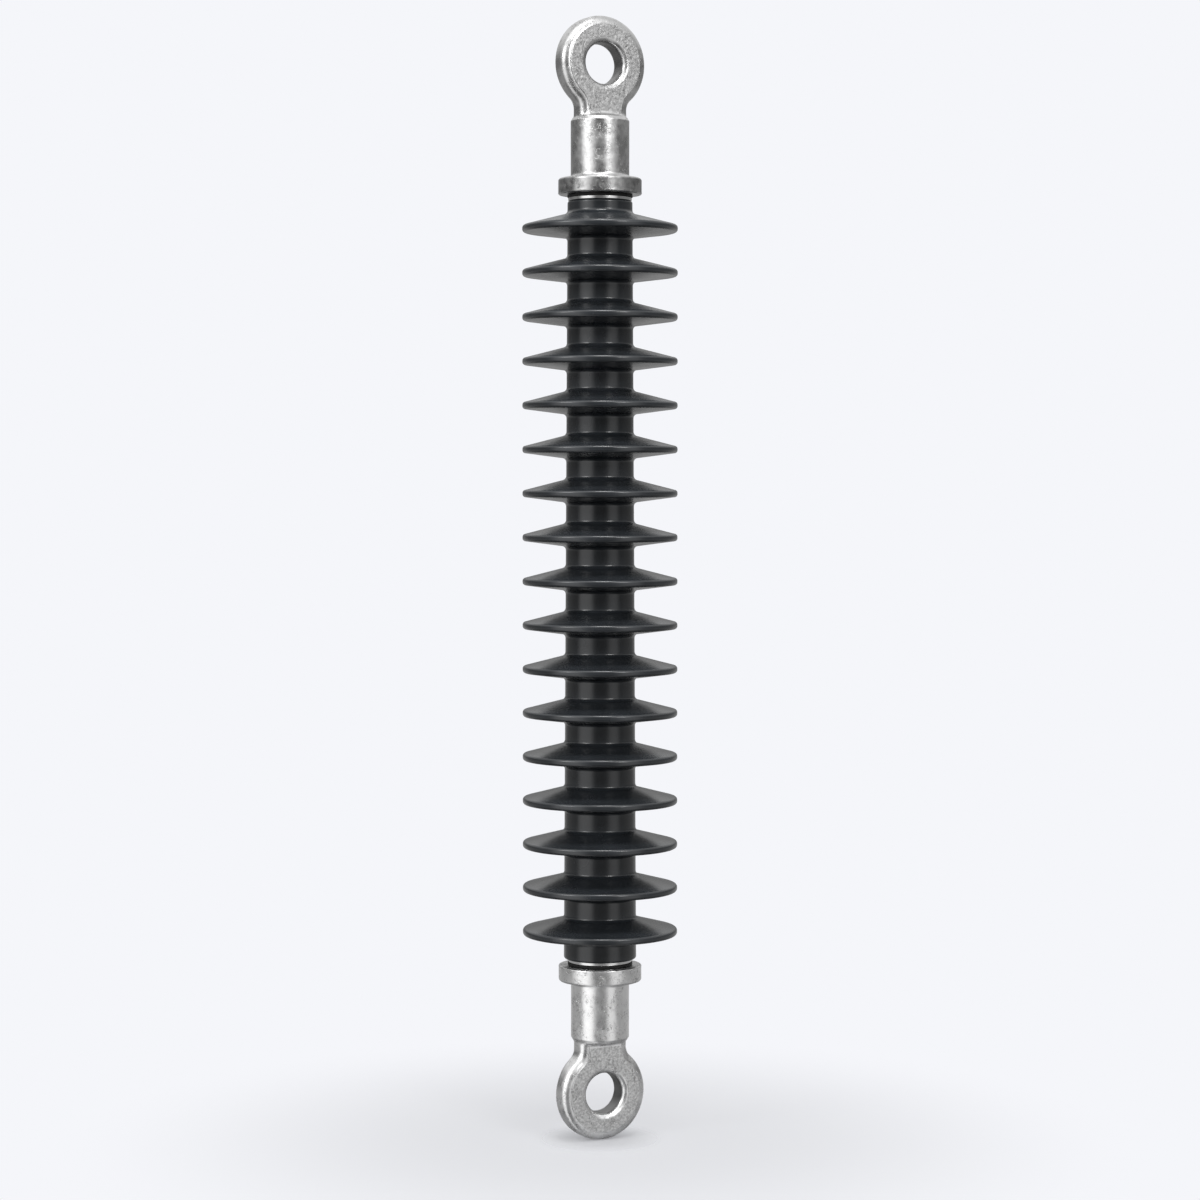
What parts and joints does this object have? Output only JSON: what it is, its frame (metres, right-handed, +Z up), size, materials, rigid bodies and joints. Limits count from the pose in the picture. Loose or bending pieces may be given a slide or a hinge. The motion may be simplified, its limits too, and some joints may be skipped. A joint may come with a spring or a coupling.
{
  "type": "composite insulator",
  "caption": "Long-rod composite insulator: a ribbed rubber housing on a glass-fibre rod, with a forged eye at each end.",
  "frame": {"origin": "centre of the upper eye's bore, in the middle of the eye's thickness", "axes": "+Z up along the rod, away from the lower eye; +Y along both eye bores; +X across the eyes"},
  "size_m": [0.0964, 0.0964, 0.6988],
  "materials": {
    "glass_fibre": "pultruded glass-fibre rod in epoxy, matt",
    "housing_rubber": "moulded dark grey silicone rubber, satin",
    "galvanised_steel": "hot-dip galvanised forging, slightly pitted",
    "seal_rubber": "black sealing rubber, matt",
    "bright_steel": "turned steel, smooth and bright"
  },
  "bodies": {
    "root": {"core_rod": "glass_fibre", "rubber_housing": "housing_rubber", "upper_eye_fitting": "galvanised_steel", "lower_eye_fitting": "galvanised_steel", "upper_seal": "seal_rubber", "lower_seal": "seal_rubber", "upper_steel_ring": "bright_steel", "lower_steel_ring": "bright_steel"}
  },
  "joints": []
}
